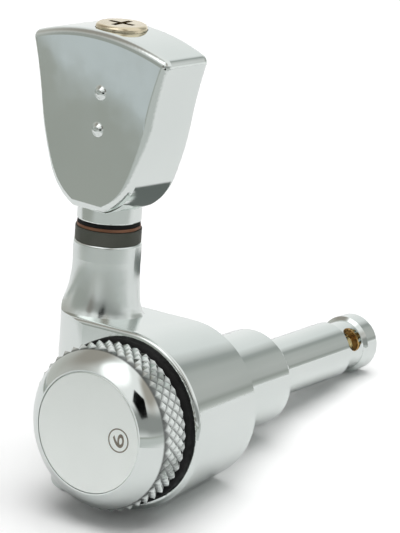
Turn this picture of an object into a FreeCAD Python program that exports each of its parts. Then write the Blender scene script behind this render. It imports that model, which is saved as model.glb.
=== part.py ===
import FreeCAD, Part
import math
import os
import re

import Sketcher

# Guitar tuning machine with a locking thumbwheel, in millimetres.
# The origin lies on the string post's axis, in the plane of the housing's seat face.
# +Y runs along the string post, away from the thumbwheel, and +Z up the button's shaft.

SIZES = (
    # the fits and the running clearances
    ("fit_gap", 0.02, "gap between two fixed pieces that nest"),
    ("running_gap", 0.05, "radial and axial clearance of what turns"),
    ("cut_overrun", 0.5, "how far a cutting outline runs past the metal"),
    # the worm gear
    ("gear_teeth", 12, "teeth of the worm wheel, for a single-start worm"),
    ("worm_pitch", 2.75, "axial pitch of the worm thread"),
    ("worm_pitch_radius", 1.95, "radius of the worm's pitch cylinder"),
    ("tooth_addendum", 0.7, "tooth height above the pitch line"),
    ("tooth_dedendum", 0.85, "tooth depth below the pitch line"),
    ("tooth_pressure_angle", 25, "flank angle of the worm thread, in degrees"),
    ("mesh_play", 0.1, "thinning of the thread and of each wheel tooth"),
    ("worm_turns", 3, "turns of thread on the worm"),
    ("gear_depth", 5.54, "worm axis behind the seat face"),
    ("wheel_face", 4.6, "width of the worm wheel"),
    # the housing
    ("housing_depth", 11.0, "rear rim to seat face"),
    ("rear_radius", 9.0, "drum radius at the rear rim"),
    ("seat_radius", 8.1, "drum radius at the seat face"),
    ("drum_reach", 11.5, "post axis to the housing's left side at the rear rim"),
    ("drum_corner", 1.6, "corner at the foot of the left side"),
    ("tower_shoulder", 1.5, "corner at the head of the left side"),
    ("tower_round", 5.4, "round of the tower's rear edge"),
    ("tower_seat_round", 1.2, "round of the tower's edge at the seat"),
    ("rim_round", 0.45, "round of the rear rim"),
    ("seat_wall", 1.8, "wall between the seat face and the gear chamber"),
    ("chamber_gap", 0.25, "clearance round the worm wheel"),
    ("neck_radius", 3.38, "neck round the button shaft"),
    ("neck_top", 15.9, "post axis to the top of the neck"),
    ("flare_head", 14.2, "height where the neck's turned part starts"),
    ("flare_top", 12.9, "height where the neck's flare starts"),
    ("flare_upper", 10.7, "height of the flare's upper section"),
    ("flare_upper_radius", 3.6, "neck at that height"),
    ("flare_upper_shift", 0.12, "lean to the left at that height"),
    ("flare_lower", 9.4, "height of the flare's lower section"),
    ("flare_lower_radius", 3.95, "neck at that height"),
    ("flare_lower_shift", 0.33, "lean to the left at that height"),
    ("flare_foot", 8.3, "height of the flare's foot, inside the drum"),
    ("flare_foot_radius", 4.75, "neck at its foot"),
    ("flare_foot_shift", 0.72, "lean to the left at its foot"),
    ("neck_lip_round", 0.25, "round of the neck's top edge"),
    ("worm_bore_gap", 0.15, "clearance round the worm thread"),
    ("sleeve_radius", 2.3, "bore of the neck, filled by the sleeve"),
    ("bore_shoulder", 6.0, "height of the shoulder above the worm"),
    # the barrel through the headstock
    ("barrel_radius", 5.0, "barrel, for a 10 mm hole"),
    ("barrel_length", 11.1, "seat face to the barrel's end"),
    ("barrel_bore_radius", 3.7, "bore of the barrel, threaded for the nut"),
    ("barrel_round", 0.3, "round of the barrel's end"),
    ("post_bush_length", 4.8, "bush that carries the post"),
    ("journal_radius", 2.8, "post inside the barrel"),
    # the string post
    ("post_radius", 3.0, "string post"),
    ("post_reach", 14.1, "barrel end to the start of the waist"),
    ("waist_length", 3.5, "string waist along the post"),
    ("waist_radius", 2.55, "smallest radius of the waist"),
    ("waist_end_radius", 2.64, "radius of the waist at its second flank"),
    ("waist_hollow", 21.0, "radius of the hollow along the waist"),
    ("waist_flank", 0.35, "length of each of the waist's steep flanks"),
    ("cap_length", 2.1, "waist to the tip"),
    ("cap_round", 0.5, "round of the tip"),
    ("string_hole_radius", 1.3, "string hole"),
    ("string_hole_angle", 34, "turn of the hole from +X towards +Z, in degrees"),
    ("pin_bore_radius", 1.35, "bore for the lock pin"),
    ("pin_flat_share", 0.75, "flat of the lock pin's bore, as a share of its radius"),
    ("flange_radius", 4.2, "thrust flange of the post"),
    ("tail_radius", 2.4, "rear part of the post"),
    ("tail_point", 0.2, "chamfer of the post's rear end"),
    ("tail_flat", 1.9, "half width over the flats that drive the wheel"),
    ("thrust_washer_width", 0.5, "bronze washer in front of the flange"),
    ("thrust_washer_radius", 5.2, "outer radius of that washer"),
    ("nut_width", 1.3, "nut behind the worm wheel"),
    ("nut_flats", 3.4, "half width over the nut's flats"),
    # the rear cover and the ring behind the thumbwheel
    ("cover_radius", 6.8, "rear cover"),
    ("cover_width", 1.3, "rear cover's thickness"),
    ("ring_inner_radius", 7.0, "black ring, inner radius"),
    ("ring_radius", 8.3, "black ring, outer radius"),
    ("ring_width", 1.0, "black ring along the post"),
    # the thumbwheel
    ("wheel_band", 3.15, "knurled band along the post"),
    ("knurl_count", 44, "diamonds round the band"),
    ("knurl_rows", 5, "half diamonds across the band"),
    ("knurl_radius", 8.32, "radius over the diamonds"),
    ("knurl_depth", 0.36, "height of a diamond"),
    ("knurl_core_drop", 0.72, "diamonds' tips to the solid core"),
    ("sewing_gap", 0.002, "gap that is closed between the diamonds' faces"),
    ("knurl_edge_drop", 0.2, "drop of the diamonds at the band's inner edge"),
    ("bezel_radius", 7.9, "polished bezel where it meets the band"),
    ("bezel_depth", 1.65, "bezel along the post"),
    ("bezel_lip", 0.16, "flat lip round the face plate"),
    ("bezel_round", 5.7, "radius of the bezel's crown"),
    ("face_radius", 6.0, "flat face plate"),
    ("face_plate_width", 0.6, "thickness of the face plate"),
    ("face_edge", 0.12, "round of the face plate's edge"),
    ("hub_width", 1.9, "thumbwheel's web along the post"),
    ("recess_radius", 4.3, "recess for the clip and the spindle's head"),
    ("clip_radius", 3.5, "retaining clip"),
    ("clip_width", 0.4, "thickness of the clip"),
    ("groove_radius", 2.0, "groove for the clip"),
    ("post_end_rest", 0.35, "post left behind the clip's groove"),
    # the locking spindle and the pin
    ("spindle_head_width", 0.7, "head of the locking spindle"),
    ("spindle_radius", 0.95, "threaded part of the spindle"),
    ("spindle_point", 0.45, "chamfer of the spindle's tip"),
    ("spindle_reach", 18.75, "spindle's head to its tip"),
    ("pin_overlap", 12.0, "lock pin's hollow end round the spindle"),
    ("pin_rest_gap", 0.2, "lock pin's tip short of the string hole at rest"),
    # the worm shaft and its pieces
    ("collar_radius", 2.5, "collars at both ends of the worm"),
    ("collar_width", 0.5, "collar along the shaft"),
    ("shaft_radius", 1.75, "shaft in the sleeve"),
    ("foot_journal_radius", 1.2, "journal below the worm"),
    ("foot_journal_length", 1.5, "journal's length in the end plug"),
    ("worm_washer_width", 0.6, "thrust washers of the worm"),
    ("plug_width", 2.0, "plug that closes the worm's bore"),
    ("shaft_top", 27.0, "top of the shaft inside the button"),
    ("shaft_flat", 1.35, "half width over the shaft's flats"),
    # the washers under the button
    ("sleeve_flange_width", 1.36, "grey flange on the neck"),
    ("sleeve_flange_radius", 3.3, "grey flange"),
    ("bronze_width", 0.3, "bronze washer"),
    ("bronze_radius", 3.17, "bronze washer"),
    ("black_width", 0.33, "black washer"),
    ("black_radius", 3.12, "black washer"),
    # the button
    ("button_turn", -7, "turn of the button about its shaft, in degrees"),
    ("button_collar_radius", 3.2, "collar under the button"),
    ("button_collar_height", 1.6, "collar, up into the blade"),
    ("collar_round", 0.2, "round of the collar's lower edge"),
    ("blade_base", 1.25, "collar's foot to the blade's lowest line"),
    ("blade_base_half", 2.1, "half width of that line"),
    ("blade_cheek_height", 5.2, "collar's foot to the widest of the round"),
    ("blade_cheek_half", 5.75, "half width there"),
    ("blade_cheek_round", 6.6, "radius of the round below"),
    ("blade_waist_height", 10.5, "collar's foot to the change of curve"),
    ("blade_waist_half", 7.35, "half width there"),
    ("blade_side_round", 26.0, "radius of the side between them"),
    ("blade_corner_height", 17.5, "collar's foot to the upper corners"),
    ("blade_corner_half", 9.2, "half width at the upper corners"),
    ("blade_flare_round", 40.0, "radius of the hollow side below the corners"),
    ("blade_crest", 19.15, "collar's foot to the crest of the top"),
    ("blade_thickness", 7.05, "blade at its middle"),
    ("blade_crown_round", 95.0, "radius of the crowned faces"),
    ("blade_edge_round", 0.8, "round along the blade's edges"),
    # the button's screw
    ("screw_head_radius", 2.55, "screw head"),
    ("screw_head_height", 1.05, "screw head"),
    ("screw_head_round", 0.4, "round of the head"),
    ("screw_shank_radius", 1.2, "screw shank"),
    ("screw_length", 13.0, "screw below its head"),
    ("screw_point", 0.3, "chamfer of the shank's end"),
    ("screw_seat_depth", 0.62, "flat sunk for the head in the crest"),
    ("cross_reach", 1.45, "half length of the cross slot"),
    ("cross_half_width", 0.3, "half width of the cross slot"),
    ("cross_depth", 0.75, "depth of the cross slot"),
    # the locating pins
    ("peg_radius", 0.75, "locating pins on the seat face"),
    ("peg_shank_radius", 0.55, "pins inside the housing"),
    ("peg_height", 1.5, "pins above the seat face"),
    ("peg_depth", 1.4, "pins below the seat face"),
    ("peg_mouth_depth", 0.2, "wider mouth of the pins' holes"),
    ("peg_left", 6.3, "pins to the left of the post"),
    ("peg_spacing", 9.4, "distance between the two pins"),
    ("peg_round", 0.2, "round of the pins' tips"),
)

# what follows from the sizes above
DERIVED = (
    ("wheel_pitch_radius", "gear_teeth * worm_pitch / (2 * pi)"),
    ("centre_distance", "wheel_pitch_radius + worm_pitch_radius"),
    ("wheel_tip_radius", "wheel_pitch_radius + tooth_addendum"),
    ("chamber_radius", "wheel_tip_radius + chamber_gap"),
    ("worm_tip_radius", "worm_pitch_radius + tooth_addendum"),
    ("worm_root_radius", "worm_pitch_radius - tooth_dedendum"),
    ("worm_bore_radius", "worm_tip_radius + worm_bore_gap"),
    ("drum_draft", "atan((rear_radius - seat_radius) / housing_depth)"),
    ("tower_round_x", "tower_round * (1 / cos(drum_draft) + tan(drum_draft)) - drum_reach"),
    ("seat_round_side", "(housing_depth - tower_seat_round) * tan(drum_draft) - drum_reach"),
    ("seat_round_x", "seat_round_side + tower_seat_round / cos(drum_draft)"),
    ("cover_seat", "housing_depth - cover_width - 2 * fit_gap"),
    ("post_bore_radius", "journal_radius + running_gap"),
    ("waist_from", "barrel_length + post_reach"),
    ("waist_to", "waist_from + waist_length"),
    ("post_tip", "waist_to + cap_length"),
    ("string_hole_at", "waist_from + waist_length / 2"),
    ("washer_front", "seat_wall + running_gap"),
    ("washer_back", "washer_front + thrust_washer_width"),
    ("flange_front", "washer_back + running_gap"),
    ("wheel_front", "gear_depth - wheel_face / 2"),
    ("flange_back", "wheel_front - fit_gap"),
    ("wheel_back", "gear_depth + wheel_face / 2"),
    ("nut_back", "wheel_back + fit_gap + nut_width"),
    ("ring_back", "housing_depth + ring_width"),
    ("band_front", "ring_back + running_gap"),
    ("band_back", "band_front + wheel_band"),
    ("face_back", "band_back + bezel_depth"),
    ("hub_back", "band_front + hub_width"),
    ("groove_front", "hub_back + running_gap"),
    ("groove_back", "groove_front + clip_width + fit_gap"),
    ("post_end", "groove_back + post_end_rest"),
    ("plate_front", "face_back - face_plate_width"),
    ("spindle_head_back", "plate_front - fit_gap"),
    ("spindle_head_front", "spindle_head_back - spindle_head_width"),
    ("pin_radius", "pin_bore_radius - running_gap"),
    ("hole_near_edge", "string_hole_at - string_hole_radius"),
    ("hole_far_edge", "string_hole_at + string_hole_radius"),
    ("pin_tip", "hole_near_edge - pin_rest_gap"),
    ("spindle_tip", "spindle_reach - spindle_head_front"),
    ("pin_rear", "spindle_tip - pin_overlap"),
    ("knurl_half_pitch", "wheel_band / knurl_rows"),
    ("thread_half", "worm_pitch * worm_turns / 2"),
    ("thread_root_half", "worm_pitch / 4 - mesh_play / 2 + tooth_dedendum * tan(tooth_pressure_angle)"),
    ("thread_tip_half", "worm_pitch / 4 - mesh_play / 2 - tooth_addendum * tan(tooth_pressure_angle)"),
    ("upper_collar_top", "bore_shoulder - 2 * running_gap - worm_washer_width"),
    ("upper_collar_foot", "upper_collar_top - collar_width"),
    ("lower_collar_top", "upper_collar_foot"),
    ("lower_collar_foot", "lower_collar_top + collar_width"),
    ("plug_top", "lower_collar_foot + 2 * running_gap + worm_washer_width"),
    ("plug_foot", "plug_top + plug_width"),
    ("journal_foot", "plug_top + foot_journal_length"),
    ("flange_top", "neck_top + fit_gap + sleeve_flange_width"),
    ("bronze_foot", "flange_top + running_gap"),
    ("bronze_top", "bronze_foot + bronze_width"),
    ("black_foot", "bronze_top + fit_gap"),
    ("black_top", "black_foot + black_width"),
    ("collar_foot", "black_top + fit_gap"),
    ("screw_seat", "collar_foot + blade_crest - screw_seat_depth"),
    ("screw_top", "screw_seat + fit_gap + screw_head_height"),
)

doc = FreeCAD.newDocument("tuning_machine")
sheet = doc.addObject("Spreadsheet::Sheet", "Sizes")
WORD = re.compile(r"\b([a-z]+(?:_[a-z]+)+)\b")


def bound(text):
    """The expression for a size written in plain aliases, each of which holds an underscore."""
    return WORD.sub(r"Sizes.\1", text)


def size(text):
    """The value of a size, or of a sum of sizes."""
    found = sheet.evalExpression(text)
    return float(getattr(found, "Value", found))


def fill_sheet():
    row = 0
    for alias, value, meaning in SIZES:
        row += 1
        sheet.set("A%d" % row, alias)
        sheet.set("B%d" % row, str(value))
        sheet.setAlias("B%d" % row, alias)
        sheet.set("C%d" % row, meaning)
    for alias, formula in DERIVED:
        row += 1
        sheet.set("A%d" % row, alias)
        sheet.set("B%d" % row, "=" + formula)
        sheet.setAlias("B%d" % row, alias)
        sheet.set("C%d" % row, "derived")
    doc.recompute()


def plane_of(body, role):
    return [item for item in body.Origin.OriginFeatures if item.Role == role][0]


def place_sketch(sketch, body, role, shift, turn):
    """Attaches a sketch to a plane of its body, moved by three sizes and turned by an angle."""
    sketch.AttachmentSupport = [(plane_of(body, role), "")]
    sketch.MapMode = "FlatFace"
    for axis, text in zip("xyz", shift):
        if text != "0":
            sketch.setExpression("AttachmentOffset.Base." + axis, bound(text))
    if turn:
        sketch.AttachmentOffset = FreeCAD.Placement(
            FreeCAD.Vector(), FreeCAD.Rotation(turn[0], size(turn[1]))
        )
        sketch.setExpression("AttachmentOffset.Rotation.Angle", bound(turn[1]))


def arc_between(start, end, radius):
    """A minor arc from start to end, counter-clockwise where the radius is positive."""
    chord = end.sub(start)
    half = chord.Length / 2
    lift = math.sqrt(max(radius * radius - half * half, 0))
    normal = FreeCAD.Vector(-chord.y, chord.x, 0).normalize()
    side = 1 if radius > 0 else -1
    centre = (start + end) * 0.5 + normal * (lift * side)
    angles = [math.atan2(p.y - centre.y, p.x - centre.x) for p in (start, end)]
    if side < 0:
        angles.reverse()
    circle = Part.Circle(centre, FreeCAD.Vector(0, 0, 1), abs(radius))
    return Part.ArcOfCircle(circle, angles[0], angles[1])


def outline(body, name, path, role="XY_Plane", shift=("0", "0", "0"), turn=None):
    """A closed outline in a sketch of the body.

    Each corner is (x, y) or (x, y, radius): the radius bends the edge that leaves that corner,
    to the left where it is positive and to the right where it is negative.
    """
    sketch = body.newObject("Sketcher::SketchObject", name)
    place_sketch(sketch, body, role, shift, turn)
    points = [FreeCAD.Vector(size(corner[0]), size(corner[1]), 0) for corner in path]
    starts = []
    for index, corner in enumerate(path):
        start = points[index]
        end = points[(index + 1) % len(path)]
        if len(corner) > 2:
            radius = size(corner[2])
            sketch.addGeometry(arc_between(start, end, radius), False)
            starts.append(1 if radius > 0 else 2)
        else:
            sketch.addGeometry(Part.LineSegment(start, end), False)
            starts.append(1)
    for index, first in enumerate(starts):
        after = (index + 1) % len(starts)
        sketch.addConstraint(Sketcher.Constraint("Coincident", index, 3 - first, after, starts[after]))
    for index, corner in enumerate(path):
        for kind, axis, text, value in (
            ("DistanceX", -2, corner[0], points[index].x),
            ("DistanceY", -1, corner[1], points[index].y),
        ):
            if text == "0":
                sketch.addConstraint(Sketcher.Constraint("PointOnObject", index, starts[index], axis))
            else:
                rule = sketch.addConstraint(Sketcher.Constraint(kind, -1, 1, index, starts[index], value))
                sketch.setExpression("Constraints[%d]" % rule, bound(text))
        if len(corner) > 2:
            rule = sketch.addConstraint(Sketcher.Constraint("Radius", index, abs(size(corner[2]))))
            sketch.setExpression("Constraints[%d]" % rule, "abs(%s)" % bound(corner[2]))
    doc.recompute()
    return sketch


def new_body(name):
    return doc.addObject("PartDesign::Body", name)


def turned(body, name, path, role="XY_Plane", shift=("0", "0", "0"), cut=False):
    """Turns an outline, given as radius and place along the axis, about its sketch's upright axis."""
    kind = "PartDesign::Groove" if cut else "PartDesign::Revolution"
    feature = body.newObject(kind, name)
    sketch = outline(body, name + "_outline", path, role, shift)
    feature.Profile = sketch
    feature.ReferenceAxis = (sketch, ["V_Axis"])
    doc.recompute()
    return feature


def raised(body, name, path, length, role, shift=("0", "0", "0"), turn=None, back=False):
    """Pads an outline along its plane's normal, or against it."""
    feature = body.newObject("PartDesign::Pad", name)
    feature.Profile = outline(body, name + "_outline", path, role, shift, turn)
    feature.setExpression("Length", bound(length))
    feature.Reversed = back
    doc.recompute()
    return feature


def sunk(body, name, path, length, role, shift=("0", "0", "0"), turn=None, back=False):
    """Pockets an outline against its plane's normal, or along it."""
    before = body.Shape.Volume
    feature = body.newObject("PartDesign::Pocket", name)
    feature.Profile = outline(body, name + "_outline", path, role, shift, turn)
    feature.setExpression("Length", bound(length))
    feature.Reversed = back
    doc.recompute()
    if not body.Shape.Volume < before:
        raise RuntimeError(name + " cuts nothing")
    return feature


def through(body, name, path, role, shift=("0", "0", "0"), turn=None):
    """Cuts an outline right through the body, to both sides of its plane."""
    before = body.Shape.Volume
    feature = body.newObject("PartDesign::Pocket", name)
    feature.Profile = outline(body, name + "_outline", path, role, shift, turn)
    feature.Type = "ThroughAll"
    feature.Midplane = True
    doc.recompute()
    if not body.Shape.Volume < before:
        raise RuntimeError(name + " cuts nothing")
    return feature


def rounded(body, name, base, radius, rule):
    """Rounds those edges of a feature that a rule picks."""
    names = ["Edge%d" % (i + 1) for i, edge in enumerate(base.Shape.Edges) if rule(edge)]
    if not names:
        raise RuntimeError(name + " finds no edge")
    feature = body.newObject("PartDesign::Fillet", name)
    feature.Base = (base, names)
    feature.setExpression("Radius", bound(radius))
    doc.recompute()
    return feature


def ring_path(inner, outer, low, high):
    return [(inner, low), (outer, low), (outer, high), (inner, high)]


def on_worm_axis(body):
    body.setExpression("Placement.Base.x", bound("-centre_distance"))
    body.setExpression("Placement.Base.y", bound("-gear_depth"))


def simple_ring(name, inner, outer, low, high, upright=False):
    """A plain ring about the post's axis, or about the worm's."""
    body = new_body(name)
    turned(body, name + "_turning", ring_path(inner, outer, low, high), "XZ_Plane" if upright else "XY_Plane")
    if upright:
        on_worm_axis(body)
    return body


def circle_path(radius, x="0", y="0"):
    """Four quarter arcs, counter-clockwise."""
    plus = "%s + %s"
    minus = "%s - %s"
    return [
        (plus % (x, radius), y, radius),
        (x, plus % (y, radius), radius),
        (minus % (x, radius), y, radius),
        (x, minus % (y, radius), radius),
    ]


def near(value, text):
    return abs(value - size(text)) < size("fit_gap")


def make_housing():
    body = new_body("housing")
    drum = raised(
        body,
        "drum",
        [
            ("0", "-rear_radius", "rear_radius"),
            ("rear_radius", "0", "rear_radius"),
            ("0", "rear_radius"),
            ("-drum_reach + tower_shoulder", "rear_radius", "tower_shoulder"),
            ("-drum_reach", "rear_radius - tower_shoulder"),
            ("-drum_reach", "-rear_radius + drum_corner", "drum_corner"),
            ("-drum_reach + drum_corner", "-rear_radius"),
        ],
        "housing_depth",
        "XZ_Plane",
        ("0", "0", "housing_depth"),
        back=True,
    )
    drum.setExpression("TaperAngle", bound("-drum_draft"))
    doc.recompute()

    def rear_rim(edge):
        box = edge.BoundBox
        return near(box.YMin, "-housing_depth") and near(box.YMax, "-housing_depth")

    rounded(body, "rim_edge", drum, "rim_round", rear_rim)
    flare = body.newObject("PartDesign::AdditiveLoft", "neck_flare")
    sections = []
    for height, radius, shift in (
        ("flare_head", "neck_radius", "0"),
        ("flare_top", "neck_radius", "0"),
        ("flare_upper", "flare_upper_radius", "flare_upper_shift"),
        ("flare_lower", "flare_lower_radius", "flare_lower_shift"),
        ("flare_foot", "flare_foot_radius", "flare_foot_shift"),
    ):
        place = ("-centre_distance - " + shift, "-gear_depth", height)
        sections.append(outline(body, height + "_outline", circle_path(radius), "XY_Plane", place))
    flare.Profile = sections[0]
    flare.Sections = sections[1:]
    doc.recompute()

    lean_in = "cos(drum_draft)"
    lean_up = "sin(drum_draft)"
    through(body, "tower_side_cut", [
        ("tower_round_x - tower_round * " + lean_in, "-housing_depth + tower_round * (1 + %s)" % lean_up,
         "tower_round"),
        ("tower_round_x", "-housing_depth"),
        ("tower_round_x", "-housing_depth - cut_overrun"),
        ("-drum_reach - flare_foot_radius", "-housing_depth - cut_overrun"),
        ("-drum_reach - flare_foot_radius", "cut_overrun"),
        ("seat_round_x", "cut_overrun"),
        ("seat_round_x", "0", "tower_seat_round"),
        ("seat_round_x - tower_seat_round * " + lean_in, "-tower_seat_round * (1 - %s)" % lean_up),
    ], "XY_Plane")

    upright = ("-centre_distance", "0", "gear_depth")
    turned(
        body,
        "neck",
        [
            ("0", "flare_head"),
            ("neck_radius", "flare_head"),
            ("neck_radius", "neck_top - neck_lip_round", "neck_lip_round"),
            ("neck_radius - neck_lip_round", "neck_top"),
            ("0", "neck_top"),
        ],
        "XZ_Plane",
        upright,
    )
    turned(
        body,
        "barrel",
        [
            ("0", "-seat_wall"),
            ("barrel_radius", "-seat_wall"),
            ("barrel_radius", "barrel_length - barrel_round", "barrel_round"),
            ("barrel_radius - barrel_round", "barrel_length"),
            ("0", "barrel_length"),
        ],
    )
    turned(
        body,
        "gear_chamber",
        [
            ("0", "-housing_depth - cut_overrun"),
            ("cover_radius + fit_gap", "-housing_depth - cut_overrun"),
            ("cover_radius + fit_gap", "-cover_seat"),
            ("chamber_radius", "-cover_seat"),
            ("chamber_radius", "-seat_wall"),
            ("barrel_bore_radius", "-seat_wall"),
            ("barrel_bore_radius", "barrel_length + cut_overrun"),
            ("0", "barrel_length + cut_overrun"),
        ],
        cut=True,
    )
    turned(
        body,
        "worm_bore",
        [
            ("0", "-rear_radius - cut_overrun"),
            ("worm_bore_radius", "-rear_radius - cut_overrun"),
            ("worm_bore_radius", "bore_shoulder"),
            ("sleeve_radius", "bore_shoulder"),
            ("sleeve_radius", "neck_top + cut_overrun"),
            ("0", "neck_top + cut_overrun"),
        ],
        "XZ_Plane",
        upright,
        cut=True,
    )
    for name, height in (("upper_peg", "peg_spacing / 2"), ("lower_peg", "-peg_spacing / 2")):
        for stretch, radius, depth in (
            ("_hole", "(peg_shank_radius + fit_gap)", "peg_depth + fit_gap"),
            ("_mouth", "(peg_radius + fit_gap)", "peg_mouth_depth"),
        ):
            path = circle_path(radius, "-peg_left", height)
            sunk(body, name + stretch, path, depth, "XZ_Plane", back=True)
    return body


def make_pegs():
    body = new_body("peg_blank")
    turned(
        body,
        "peg",
        [
            ("0", "-peg_depth"),
            ("peg_shank_radius", "-peg_depth"),
            ("peg_shank_radius", "0"),
            ("peg_radius", "0"),
            ("peg_radius", "peg_height - peg_round", "peg_round"),
            ("peg_radius - peg_round", "peg_height"),
            ("0", "peg_height"),
        ],
    )
    body.setExpression("Placement.Base.x", bound("-peg_left"))
    body.setExpression("Placement.Base.z", bound("peg_spacing / 2"))
    twin = doc.addObject("Part::Mirroring", "lower_peg")
    twin.Source = body
    twin.Normal = FreeCAD.Vector(0, 0, 1)
    pair = doc.addObject("Part::Compound", "locating_pins")
    pair.Links = [body, twin]
    return pair


def make_rear_cover():
    return simple_ring("rear_cover", "tail_radius + running_gap", "cover_radius",
                       "-housing_depth + fit_gap", "-cover_seat - fit_gap")


def make_black_ring():
    body = new_body("friction_ring")
    turned(
        body,
        "friction_ring_turning",
        [
            ("ring_inner_radius", "-ring_back"),
            ("ring_radius - rim_round", "-ring_back", "rim_round"),
            ("ring_radius", "-ring_back + rim_round"),
            ("ring_radius", "-housing_depth"),
            ("ring_inner_radius", "-housing_depth"),
        ],
    )
    return body


def make_post_bush():
    return simple_ring("post_bushing", "post_bore_radius", "barrel_bore_radius - fit_gap",
                       "-seat_wall", "post_bush_length - seat_wall")


def make_thrust_washer():
    return simple_ring("post_thrust_washer", "post_bore_radius", "thrust_washer_radius",
                       "-washer_back", "-washer_front")


def make_string_post():
    body = new_body("string_post")
    turned(
        body,
        "post_front",
        [
            ("0", "-flange_back"),
            ("flange_radius", "-flange_back"),
            ("flange_radius", "-flange_front"),
            ("journal_radius", "-flange_front"),
            ("journal_radius", "barrel_length"),
            ("post_radius", "barrel_length"),
            ("post_radius", "waist_from"),
            ("waist_radius", "waist_from + waist_flank", "-waist_hollow"),
            ("waist_end_radius", "waist_to - waist_flank"),
            ("post_radius", "waist_to"),
            ("post_radius", "post_tip - cap_round", "cap_round"),
            ("post_radius - cap_round", "post_tip"),
            ("0", "post_tip"),
        ],
    )
    raised(body, "drive_part", double_flat("tail_radius", "tail_flat"), "wheel_back - flange_back",
           "XZ_Plane", ("0", "0", "flange_back"))
    turned(
        body,
        "post_tail",
        [
            ("0", "-post_end"),
            ("tail_radius - tail_point", "-post_end"),
            ("tail_radius", "-post_end + tail_point"),
            ("tail_radius", "-groove_back"),
            ("groove_radius", "-groove_back"),
            ("groove_radius", "-groove_front"),
            ("tail_radius", "-groove_front"),
            ("tail_radius", "-wheel_back"),
            ("0", "-wheel_back"),
        ],
    )
    sunk(body, "pin_bore", flatted("pin_bore_radius", "pin_flat_share * pin_bore_radius"),
         "post_end + hole_far_edge + running_gap", "XZ_Plane", ("0", "0", "post_end"))
    through(body, "string_hole", circle_path("string_hole_radius", "string_hole_at"), "YZ_Plane",
            turn=(FreeCAD.Vector(1, 0, 0), "-string_hole_angle"))
    return body


def double_flat(radius, half):
    """A circle with two parallel flats, counter-clockwise."""
    rise = "sqrt(%s * %s - %s * %s)" % (radius, radius, half, half)
    return [
        (half, rise, radius),
        ("-" + half, rise),
        ("-" + half, "-" + rise, radius),
        (half, "-" + rise),
    ]


def flatted(radius, height):
    """A circle with one flat at the top, counter-clockwise."""
    reach = "sqrt(%s * %s - %s * %s)" % (radius, radius, height, height)
    return [
        (reach, height),
        ("-" + reach, height, radius),
        ("0", "-" + radius, radius),
    ]


def make_worm_wheel():
    """The wheel's teeth are involutes that follow the worm's lead across the face."""
    teeth = int(size("gear_teeth"))
    pitch_radius = size("wheel_pitch_radius")
    tip_radius = size("wheel_tip_radius")
    root_radius = pitch_radius - size("tooth_dedendum")
    flank_angle = math.radians(size("tooth_pressure_angle"))
    base_radius = pitch_radius * math.cos(flank_angle)
    tooth_width = size("worm_pitch") / 2 - size("mesh_play")
    lead_slope = size("worm_pitch") / (2 * math.pi * size("worm_pitch_radius"))
    flank_steps = 4

    def half_angle(radius):
        bend = math.acos(min(base_radius / radius, 1))
        involute = math.tan(bend) - bend
        at_pitch = math.tan(flank_angle) - flank_angle
        return tooth_width / (2 * pitch_radius) + at_pitch - involute

    def spot(radius, angle, place):
        return FreeCAD.Vector(-radius * math.cos(angle), place, radius * math.sin(angle))

    def section(place):
        edges = []
        lean = lead_slope * (place + size("gear_depth")) / pitch_radius
        rise = (tip_radius - base_radius) / flank_steps
        radii = [base_radius + rise * step for step in range(flank_steps + 1)]
        for tooth in range(teeth):
            middle = 2 * math.pi * tooth / teeth + lean
            after = 2 * math.pi * (tooth + 1) / teeth + lean
            rising = [spot(root_radius, middle - half_angle(base_radius), place)]
            rising += [spot(radius, middle - half_angle(radius), place) for radius in radii]
            falling = [spot(radius, middle + half_angle(radius), place) for radius in reversed(radii)]
            falling += [spot(root_radius, middle + half_angle(base_radius), place)]
            follower = spot(root_radius, after - half_angle(base_radius), place)
            edges += [Part.makeLine(a, b) for a, b in zip(rising, rising[1:])]
            edges.append(Part.makeLine(rising[-1], falling[0]))
            edges += [Part.makeLine(a, b) for a, b in zip(falling, falling[1:])]
            bottom = spot(root_radius, (middle + after) / 2, place)
            edges.append(Part.Arc(falling[-1], bottom, follower).toShape())
        return Part.Wire(edges)

    places = [-size("wheel_back"), -size("gear_depth"), -size("wheel_front")]
    gear = Part.makeLoft([section(place) for place in places], True, True)
    radius = size("tail_radius + fit_gap")
    half = size("tail_flat + fit_gap")
    rise = math.sqrt(radius * radius - half * half)
    start = places[0] - size("cut_overrun")
    spots = ((half, rise), (-half, rise), (-half, -rise), (half, -rise))
    corners = [FreeCAD.Vector(x, start, z) for x, z in spots]
    poles = [FreeCAD.Vector(0, start, radius), FreeCAD.Vector(0, start, -radius)]
    bore = Part.Wire([
        Part.Arc(corners[0], poles[0], corners[1]).toShape(),
        Part.makeLine(corners[1], corners[2]),
        Part.Arc(corners[2], poles[1], corners[3]).toShape(),
        Part.makeLine(corners[3], corners[0]),
    ])
    reach = FreeCAD.Vector(0, size("wheel_face + 2 * cut_overrun"), 0)
    wheel = doc.addObject("Part::Feature", "worm_wheel")
    wheel.Shape = gear.cut(Part.Face(bore).extrude(reach))
    return wheel


def make_wheel_nut():
    body = new_body("wheel_nut")
    corner = "nut_flats / cos(30)"
    hexagon = [
        ("nut_flats", "-nut_flats * tan(30)"),
        ("nut_flats", "nut_flats * tan(30)"),
        ("0", corner),
        ("-nut_flats", "nut_flats * tan(30)"),
        ("-nut_flats", "-nut_flats * tan(30)"),
        ("0", "-" + corner),
    ]
    raised(body, "nut_block", hexagon, "nut_width", "XZ_Plane", ("0", "0", "wheel_back + fit_gap"))
    sunk(body, "nut_bore", circle_path("(tail_radius + fit_gap)"), "nut_width + 2 * cut_overrun", "XZ_Plane",
         ("0", "0", "nut_back + cut_overrun"))
    return body


def make_clip():
    return simple_ring("retaining_clip", "groove_radius + fit_gap", "clip_radius",
                       "-groove_back + fit_gap / 2", "-groove_front - fit_gap / 2")


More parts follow.
